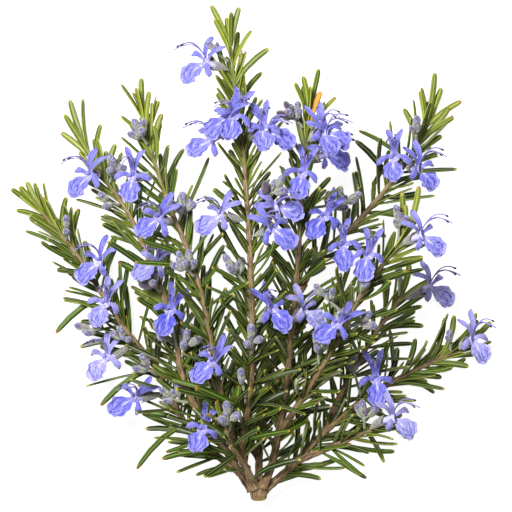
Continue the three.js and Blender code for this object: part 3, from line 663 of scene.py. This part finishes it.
def calyx(growth, flower):
    """A thin stalk, then a bell whose radius grows to the mouth, with a rib on every second
    side and the mouth's rim drawn out into one broad and two narrow teeth."""
    length = max(flower.reach, SHORTEST_FLOWER)
    mouth = max(0.35, 1 - (TUBE_LENGTH - 0.6) / length)
    foot = max(0.08, mouth - CALYX_LENGTH / length)
    run = np.array([0.0, foot * 0.7, foot, *np.linspace(foot, mouth, 7)[1:], mouth, mouth - 0.1])
    radii = [0.4, 0.4, 0.5, 0.85, 1.1, 1.25, 1.35, 1.5, 1.72, 1.6, 0.9]
    turn = turns(CALYX_SIDES)
    tooth = np.maximum(0, np.cos(turn + np.pi / 2)) ** 1.5 * 1.3 + np.maximum(
        0, np.sin(turn)) * np.abs(np.sin(2 * turn)) * 1.5
    teeth = np.array([0, 0, 0, 0, 0, 0, 0, 0.4, 1, 0.95, 0])[:, None] * tooth
    line, slope = bezier(flower.line, run)
    rings = rod(line, slope, flower.drop, radii, round_outline(CALYX_SIDES))
    rings = rings + unit(slope)[:, None] * teeth[..., None]
    rib = np.arange(CALYX_SIDES) % 2
    centre = rings.mean(axis=2, keepdims=True)
    rings = centre + (rings - centre) * (1 + 0.05 * (rib[:, None] - 0.5))
    growth.add(rings, rib=rib, along=np.linspace(0, 1, len(run))[None, :, None], bloom=0.0,
               dark=0.0)


for shoot, stem in stems.items():
    growth, names = Growth(), []
    for flower in flowers:
        if flower.shoot == shoot:
            calyx(growth, flower)
            names.append("flower_" + flower.name)
    if names:
        growth.piece("calyxes_" + stem.node, calyx_paint, "calyx", *dict.fromkeys(names))

# ------------------------------------------------------------
# The buds
# Closed buds stand in small sprays in the leaf axils: egg-shaped, lilac where the petal shows
# and grey green where the calyx holds it, each on a thin stalk.
BUDS = [  # shoot, middle of the spray, buds, lift, dark share, turn
    ("upper_left", (-43.5, 98.5), 5),
    ("left_centre", (-35, 109.5), 4),
    ("left_centre", (-22.5, 87), 6),
    ("left_centre", (-21.5, 70), 5),
    ("top", (-7, 68.5), 3),
    ("top", (-1.5, 48), 4, 3.5),
    ("far_left", (-49.5, 50.5), 3, -1.5),
    ("upper_left", (-21.5, 46.5), 4),
    ("spur_low_left", (-8.6, 24.4), 4),
    ("right_centre", (10.5, 115), 6, 0, 0.45),
    ("right_centre", (26, 89), 5, -5, 0.15, np.radians(25)),
    ("mid_right", (42, 83), 3),
]
SMALL_SPRAYS = [  # shoot, middle of the spray, buds
    ("upper_left", (-31.5, 64.5), 4), ("top", (-4.5, 34.5), 1),
    ("far_left", (-40, 48), 3), ("far_left", (-33, 39), 2),
    ("upper_left", (-28, 49), 3), ("upper_left", (-25.5, 30), 3),
    ("right", (42.5, 65), 1), ("mid_right", (31, 53), 2),
    ("low_right", (29, 38), 1), ("far_left", (-57.5, 80.7), 2),
    ("top", (-12, 133.5), 1), ("upper_left", (-44.5, 89), 2),
    ("top", (5, 92.5), 4), ("mid_right", (18, 45), 3),
    ("upper_right", (47.5, 110), 1), ("mid_right", (20, 61), 2),
    ("mid_right", (31, 65), 2), ("low_right", (58, 47), 1),
    ("spur_low_right", (32, 25), 3),
]
SPRAY_STALK = 6
BUD_STALK = 1.8
BUD_LENGTH = 4.4
BUD_SIDES = 12
BUD_TURN = 2.4  # radians from one bud to the next
BUD_PROFILE = np.array([  # share of the length, radius
    [0, 0.3], [0.12, 0.3], [0.24, 0.45], [0.3, 0.85], [0.4, 1.15], [0.5, 1.25], [0.58, 1.22],
    [0.6, 1.06], [0.66, 1.2], [0.76, 1.22], [0.86, 1.05], [0.94, 0.72], [0.985, 0.36],
    [1.0, 0.06]])
bud_chance = np.random.default_rng(3)
bud_middles = []


def turned(vectors, axis, angle):
    """Vectors turned about an axis: v cos + (axis x v) sin + axis (axis . v)(1 - cos)."""
    angle = np.asarray(angle)[..., None]
    return (vectors * np.cos(angle) + np.cross(axis, vectors) * np.sin(angle)
            + axis * np.sum(axis * vectors, axis=-1, keepdims=True) * (1 - np.cos(angle)))


def spray(growth, shoot, middle, count, lift=0, dark=0.0, turn=0.0, small=0):
    """A stalk from the stem to the spray's middle, and buds fanned round its end by BUD_TURN
    each, with `small` half-grown ones between them. A bud's radius follows a stalk, a calyx
    and an egg."""
    _, foot, out, head = stems[shoot].stalk(middle, SPRAY_STALK, 2.5, lift)
    line = foot + (head - foot) * np.linspace(0, 1, 8)[:, None]
    growth.add(rod(line, head - foot, out + 0.01, 0.42, round_outline(8)), rib=0.7, along=0.2)
    axis_out = unit(unit(head - foot) * 0.65 + np.array([0, 0.35, 0]))
    across = unit(np.cross(axis_out, [0, 1, 0]))
    i = np.arange(count + small)
    lean = np.where(i == 0, 0.15, np.where(i < count, 0.75, 0.45))[:, None]
    spin = i * BUD_TURN + turn + np.where(i < count, 0, 1.1)
    away = turned(across, axis_out, spin) * np.sin(lean) + axis_out * np.cos(lean)
    start = foot + (head - foot) * (0.97 - 0.6 * (i % count) / count)[:, None]
    size = np.where(i < count, 1, 0.68) * bud_chance.uniform(0.85, 1.08, len(i))
    far = ((BUD_STALK + BUD_LENGTH) * size)[:, None]
    rise, fat = BUD_PROFILE.T
    line = start[:, None] + away[:, None] * (rise * far)[..., None]
    fold = 0.09 * np.sin(2 * turns(BUD_SIDES)) * smooth(rise, 0.3, 0.6)[:, None]
    fats = fat * size[:, None]
    blackened = (((i * 0.618 + 0.3) % 1) < dark).astype(float)[:, None, None]
    growth.add(carried(line, away[:, None], [0.3, 0.5, 1], fats, fats,
                       round_outline(BUD_SIDES) * (1 + fold)[..., None]),
               rib=np.arange(BUD_SIDES) % 2, along=rise[None, :, None],
               bloom=smooth(rise, 0.58, 0.8)[None, :, None], dark=blackened)
    bud_middles.extend(start + away * far * 0.6)


for number, row in enumerate(BUDS, 1):
    growth = Growth()
    spray(growth, *row, small=row[2])
    growth.piece(f"buds_{number:02d}", calyx_paint, "calyx", f"bud_spray_{number:02d}")
growth = Growth()
for shoot, middle, count in SMALL_SPRAYS:
    spray(growth, shoot, middle, count, dark=0.2, turn=middle[0], small=2)
growth.piece("buds_in_axils", calyx_paint, "calyx")

# ------------------------------------------------------------
# The leaves
# Leathery needles in opposite pairs, each pair a quarter turn from the last, with tufts of
# young leaves in the axils. A leaf is 16.5 mm long and 2 mm wide, shorter at the tip of the
# shoot, blunt at its end and rolled under at its edges, so it shows a groove above and a white
# felted stripe beneath.
LEAF_LENGTH = 16.5
LEAF_HALF = 0.98     # half its width
LEAF_THICK = 0.4
BARE_FOOT = 8        # stem without leaves above its foot
SPREAD_ANGLE = 50    # a grown leaf's lean off the stem, in degrees
TIP_ANGLE = 15       # and the lean at the shoot's tip
LEAF_FLOOR = TABLE + 1.1
ABOVE_COUNTS = 0.2   # share of its height that a place above a flower counts for
ROOM_ENOUGH = 0.3    # more room than this is no better
LEAST_ROOM = -0.4    # a leaf with less is left out
WAY_COST = 0.06      # room that each later way has to gain to be taken
STRAIGHT_UP = (0.8, 0.97)  # upward shares of a leaf's way out between which it is avoided
LEAF_RINGS = np.array([0, 0.1, 0.28, 0.5, 0.76, 0.92, 0.98, 1.0])
LEAF_WIDTHS = np.array([0.36, 0.52, 0.8, 0.96, 1.0, 0.88, 0.62, 0.25])
# From the right edge over the top, down the left edge and back beneath.
LEAF_OUTLINE = np.array([[1, -0.15], [0.62, 0.75], [0, 0.3], [-0.62, 0.75], [-1, -0.15],
                         [-0.6, -0.95], [0, -0.35], [0.6, -0.95]])
LEAF_EDGE = np.array([1, 0.5, 0, 0.5, 1, 0.5, 0, 0.5])
LEAF_UNDER = np.array([0.45, 0, 0, 0, 0.45, 1, 1, 1])
TIPS = {  # where the tips of some leaves are, seen from above
    "top": [(-14, 148), (-13, 144), (-9.5, 144.5), (-8, 146), (-5.6, 147.5), (-2, 140.5),
                  (3.3, 135), (-4.7, 22), (4, 22.5), (13, 12), (14.3, 25.7), (13, 39.3),
                  (9, 32.8), (-11, 39)],
    "left_centre": [(-41, 124.5), (-36.5, 123.5), (-35, 126.5), (-32.5, 122.5),
                          (-29.7, 119.7), (-28.7, 115.7), (-41, 115)],
    "upper_left": [(-57, 120.5), (-58.5, 116), (-53, 120.7), (-59.5, 110.5),
                         (-47.5, 113), (-43, 107), (-41, 104.5)],
    "far_left": [(-74.5, 93.5), (-72, 94.3), (-70, 95.7), (-64.8, 91), (-69, 85.5),
                       (-57.8, 91), (-54, 87.5), (-63.5, 76), (-61, 50), (-53.7, 45.7),
                       (-47.5, 28), (-34, 26), (-34, 21), (-36.5, 9), (-29, 12), (-18.7, 7)],
    "right_centre": [(11, 125), (13.5, 127), (18.3, 129.3), (15.7, 124), (18.8, 122.5)],
    "upper_right": [(49, 123), (53.5, 128.7), (55.5, 124), (61.5, 120), (59, 115),
                          (55.5, 109.5), (44, 117.7), (30.5, 111), (29.3, 108), (29.3, 98.7)],
    "mid_right": [(44, 88.5), (48, 94), (43, 92)],
    "right": [(49.5, 58), (50, 52), (52, 66)],
    "low_right": [(42, 45.7), (47.5, 48.3), (56.3, 54.5), (59.3, 55.3), (66, 56),
                        (70.5, 53.3), (63.7, 39.8), (55.5, 36.5), (52.2, 33.8), (38, 11),
                        (32, 14.3), (19.8, 10.2), (19, 6), (13.3, 7.5)],
}
DRY_TIP = (18.8, 122.5)  # the one leaf that has turned orange
chance = np.random.default_rng(11)


def leaf_look():
    """Leaf: dark green with painted shade on the flanks and a painted highlight along the groove
    in the middle, a yellow line along each edge that is partly its own colour and partly
    painted highlight, browned here and there, and a yellow to orange tip. Beneath it is white
    felt between green rolled edges. Young leaves are yellow green and the dry one is orange.
    `edge` is 1 at the edges and 0 in the middle, `under` is 1 beneath, and `age` is 1 on a
    young leaf."""
    look = Look("leaf", Specular_IOR_Level=0.32)
    edge, under, along, age, tone = (
        look.mark(name) for name in ("edge", "under", "along", "age", "tone"))
    mottle, fine = look.noise(500.0, 3.0), look.noise(3800.0, 2.0)
    shade = look.step(tone + (mottle - 0.5) * 0.6, 0.0, 1.0)
    look.base = look.mixed(shade, "0d1a01", "47660b")
    look.coat(age, look.mixed(shade, "53680f", "90992c"))
    look.coat(fine * 0.25, "162506")
    # Painted shade on the flanks either side of the groove.
    painted_flank_shade = look.step(edge, 0.12, 0.35) * (1 - look.step(edge, 0.5, 0.8))
    look.coat(painted_flank_shade * 0.55, look.mixed(age, "0f1c02", "44570e"))
    # The edge line: the rolled edge's own yellow-green, partly also painted highlight.
    line = look.step(edge, 0.62, 0.92)
    look.coat(line * (0.5 + 0.3 * age), look.mixed(age, "8f9c38", "b4b548"))
    seam = look.step(edge, 0.9, 1.0) * look.step(look.noise(160.0, 2.0), 0.45, 0.6)
    look.coat(seam * 0.65, "84502c")
    # Painted highlight: a pale stripe along the groove in the middle of the leaf.
    painted_groove_highlight = 1 - look.step(edge, 0.0, 0.26)
    look.coat(painted_groove_highlight * 0.5, look.mixed(age, "93a05a", "b0b365"))
    felt = look.step(under, 0.7, 1.0) * (1 - look.step(edge, 0.3, 0.62))
    look.coat(felt * 0.85, look.mixed(fine, "a5a894", "d8d8cc"))
    look.coat(look.step(under, 0.6, 1.0) * look.step(edge, 0.3, 0.62) * 0.5, "7b8f46")
    tip = look.step(along + (mottle - 0.5) * 0.05, 0.94, 1.0)
    look.coat(tip * 0.8, look.mixed(look.step(tone, 0.6, 0.8), "b0a83c", "a0622c"))
    look.coat(look.mark("dry"), look.mixed(mottle, "c07a14", "e0a83a"))
    return look.wear(0.34 + mottle * 0.16 + felt * 0.4, fine * 0.5 + mottle * 0.5, 0.00015, 0.5)


leaf_paint = leaf_look()
obstacles = np.array(  # balls that leaves keep out of: spoons, upper lobes, wings and buds
    [[*flower.set((1.5, 4.6, 0)), 3.6] for flower in flowers]
    + [[*flower.set((0.8, -4.2, 0)), 2.6] for flower in flowers]
    + [[*flower.set((0.8, -0.2, hand * 3)), 1.9] for flower in flowers for hand in (-1, 1)]
    + [[*middle, 1.9] for middle in bud_middles])


def room(spots):
    """The least room between the last axis of places and the flowers and buds. A place above a
    flower counts as nearer than it is, so that leaves seldom hang before one."""
    apart = spots[..., None, :] - obstacles[:, :3]
    apart[..., 2] *= np.where(apart[..., 2] > 0, ABOVE_COUNTS, 1.0)
    return (np.linalg.norm(apart, axis=-1) - obstacles[:, 3]).min(axis=(-1, -2))


# Each way that a leaf can grow: degrees further round, degrees further out, share of its length.
WAYS = np.array([[0, 0, 1], [18, 0, 1], [-18, 0, 1], [0, 12, 1], [36, 0, 1], [-36, 0, 1],
                 [0, -14, 1], [18, 12, 0.9], [-18, 12, 0.9], [60, 0, 0.9], [-60, 0, 0.9],
                 [36, -14, 0.8], [-36, -14, 0.8], [0, -20, 0.7], [0, 20, 0.7]])


def grown_leaves(stem, shares, around, lean, size, curve):
    """The three places that each leaf bends through: start in the stem, away at the lean angle,
    and a tip bent by `curve` of the leaf's length towards the outside. Of the ways to turn,
    tilt and shorten it, each leaf takes the first that keeps clear of the flowers and doesn't
    stand straight up before the stem. A leaf without room any way is left out."""
    start, ahead = stem.at(shares)[:, None], stem.ahead(shares)[:, None]
    right = unit(np.cross(ahead, [0, 0, 1.0]))
    turn = np.radians(around[:, None] + WAYS[:, 0])
    tilt = np.radians(np.clip(lean[:, None] + WAYS[:, 1], 5, 85))[..., None]
    length = (size[:, None] * WAYS[:, 2])[..., None]
    out = turned(right, ahead, turn)
    away = ahead * np.cos(tilt) + out * np.sin(tilt)
    bent = curve[:, None, None] * length
    middle = start + away * length * 0.52 - out * bent * 0.3
    tip = start + away * length * 0.98 + out * bent
    for place in (middle, tip):
        place[..., 2] = np.maximum(place[..., 2], LEAF_FLOOR)
    t = np.array([0.45, 0.7, 0.88, 1.0])[:, None]
    spots = ((1 - t) ** 2 * start[..., None, :] + 2 * t * (1 - t) * middle[..., None, :]
             + t**2 * tip[..., None, :])
    free = room(spots)
    score = np.minimum(free, ROOM_ENOUGH) - WAY_COST * np.arange(len(WAYS))
    best = np.argmax(score - smooth(out[..., 2], *STRAIGHT_UP), axis=1)
    pick = np.arange(len(best))
    face = ahead * np.sin(tilt) - out * np.cos(tilt)
    kept = free[pick, best] > LEAST_ROOM
    return tuple(np.broadcast_to(a, (*turn.shape, 3))[pick, best][kept]
                 for a in (start, middle, tip, face)) + (kept,)


def add_leaves(growth, start, middle, tip, face, young, wide, dry=0.0):
    """Leaf bodies of 8 rings and 8 sides along the bent lines."""
    line, slope = bezier([start, middle, tip], LEAF_RINGS)
    top = face + np.array([0, 0, 0.95]) + 0.3 * chance.normal(size=face.shape)
    across = LEAF_HALF * LEAF_WIDTHS * wide[:, None]
    over = LEAF_THICK * (0.4 + 0.6 * LEAF_WIDTHS) * wide[:, None]
    rings = carried(line, slope, top[:, None], across, over, LEAF_OUTLINE)
    growth.add(rings, edge=LEAF_EDGE, under=LEAF_UNDER, along=LEAF_RINGS[None, :, None],
               age=young[:, None, None], tone=chance.random(len(start))[:, None, None],
               dry=np.broadcast_to(dry, len(start))[:, None, None])


def foliage(name, stem):
    """All of one shoot's leaves: pairs at even steps, a tuft of up to three in most axils, and
    the leaves whose tips are known, which leave the stem a leaf's length below them."""
    growth = Growth()
    pairs = int((stem.length - BARE_FOOT) / PAIR_SPACING)
    pair = np.repeat(np.arange(pairs + 1), 2)
    hand = np.tile([0, 180], pairs + 1)
    foot, last = BARE_FOOT / stem.length, 0.93 if name in TIPS else 0.985
    shares = foot + (last - foot) * pair / pairs
    count = len(pair)
    youth = smooth(shares, 0.72, 1)
    lean = SPREAD_ANGLE + (TIP_ANGLE - SPREAD_ANGLE) * smooth(shares, 0.55, 1)
    lean = lean + 9 * chance.normal(size=count)
    size = LEAF_LENGTH * (1 - 0.36 * smooth(shares, 0.7, 1)) * (
        1 + 0.14 * chance.normal(size=count))
    around = pair * 90 + hand + 45 + 16 * chance.normal(size=count)
    curve = 0.11 * chance.normal(size=count)
    *places, kept = grown_leaves(stem, shares, around, lean, size, curve)
    wide = (1 - 0.06 * youth + 0.1 * chance.normal(size=count))[kept]
    add_leaves(growth, *places, youth[kept], wide)

    tuft = np.repeat(np.arange(1, pairs), 3)
    side = np.tile([0, 180, 40], pairs - 1)
    use = chance.random(len(tuft)) < 0.62
    tuft, side = tuft[use], side[use]
    count = len(tuft)
    shares = foot + (last - foot) * tuft / pairs
    size = LEAF_LENGTH * chance.uniform(0.4, 0.9, count)
    around = tuft * 90 + side + 45 + 30 * chance.normal(size=count)
    lean = chance.uniform(18, 45, count) * (1 - 0.4 * smooth(shares, 0.6, 1))
    *places, kept = grown_leaves(stem, shares, around, lean, size, 0.08 * np.ones(count))
    youth = (0.35 + 0.65 * smooth(shares, 0.5, 1)) * chance.uniform(0.4, 1, count)
    add_leaves(growth, *places, youth[kept], chance.uniform(0.6, 0.85, len(places[0])))

    if name in TIPS:
        tips = np.array(TIPS[name], float)
        fan = np.linspace(0.02, 1, 200)
        spots = stem.at(fan)
        far = np.linalg.norm(tips[:, None] - spots[None, :, :2], axis=-1)
        before = fan[None] <= fan[far.argmin(axis=1)][:, None] + 1e-6
        wanted = np.clip(far.min(axis=1) * 1.35, 12.5, 17)
        pick = np.where(before, np.abs(far - wanted[:, None]), 1e6).argmin(axis=1)
        share, start = fan[pick], spots[pick]
        ahead = stem.ahead(share)
        height = start[:, 2] + ahead[:, 2] * 8 + chance.uniform(-1.5, 4, len(tips))
        tip = np.column_stack([tips, np.maximum(height, LEAF_FLOOR)])
        reach = np.linalg.norm(tip - start, axis=1)[:, None]
        middle = start + 0.5 * (0.45 * ahead * reach + 0.55 * (tip - start))
        out = unit(tip - start - ahead * reach * 0.8)
        add_leaves(growth, start, middle, tip, -out * 0.25, smooth(share, 0.7, 0.95),
                   np.full(len(tips), 0.98), (tips == DRY_TIP).all(axis=1))
    growth.piece("leaves_" + stem.node, leaf_paint, "leaf", stem.node)


for name, stem in stems.items():
    foliage(name, stem)

# ------------------------------------------------------------
# The table, the lamps and the camera
# The bush lies on a plain white table under soft lamps, seen from straight above.
MIDDLE = START + MM * np.array([-0.6, 73.2, 25.0])
FRAME_WIDTH = 0.1536
LENS = 600
SENSOR = 36
TABLE_HALF = 60.0


def table_top():
    """A flat white square, wide enough that its edge is never seen."""
    corners = np.array([[-1, -1, 0], [1, -1, 0], [1, 1, 0], [-1, 1, 0]]) * TABLE_HALF
    mesh = bpy.data.meshes.new("table")
    mesh.from_pydata(corners.tolist(), [], [[0, 1, 2, 3]])
    paint = Look("table", Roughness=0.9, Specular_IOR_Level=0.1, Emission_Strength=0.88)
    paint.shader.inputs["Base Color"].default_value = (0.36, 0.36, 0.36, 1)
    paint.shader.inputs["Emission Color"].default_value = (1, 1, 1, 1)
    mesh.materials.append(paint.material)
    placed("table", mesh)


table_top()


def lamp(name, place, width, watts):
    """A square soft lamp that looks at the bush's middle."""
    light = bpy.data.lights.new(name, "AREA")
    light.size, light.energy = width, watts
    made = placed(name, light)
    made.location = MIDDLE + np.array(place)
    made.rotation_euler = Vector(-np.array(place)).to_track_quat("-Z", "Y").to_euler()


lamp("key_lamp", (-0.3, 0.3, 0.85), 0.3, 16.5)
lamp("fill_lamp", (0.5, -0.3, 0.7), 0.6, 1.2)

world = bpy.data.worlds.new("room")
bpy.context.scene.world = world
world.use_nodes = True
world.node_tree.nodes["Background"].inputs["Color"].default_value = (1, 1, 1, 1)
world.node_tree.nodes["Background"].inputs["Strength"].default_value = 0.14
bpy.context.scene.view_settings.view_transform = "Standard"

camera_data = bpy.data.cameras.new("camera")
camera_data.lens, camera_data.sensor_width = LENS, SENSOR
camera = placed("camera", camera_data)
camera.location = MIDDLE + np.array([0, 0, FRAME_WIDTH * LENS / SENSOR])
bpy.context.scene.camera = camera
camera_data.clip_end = 200
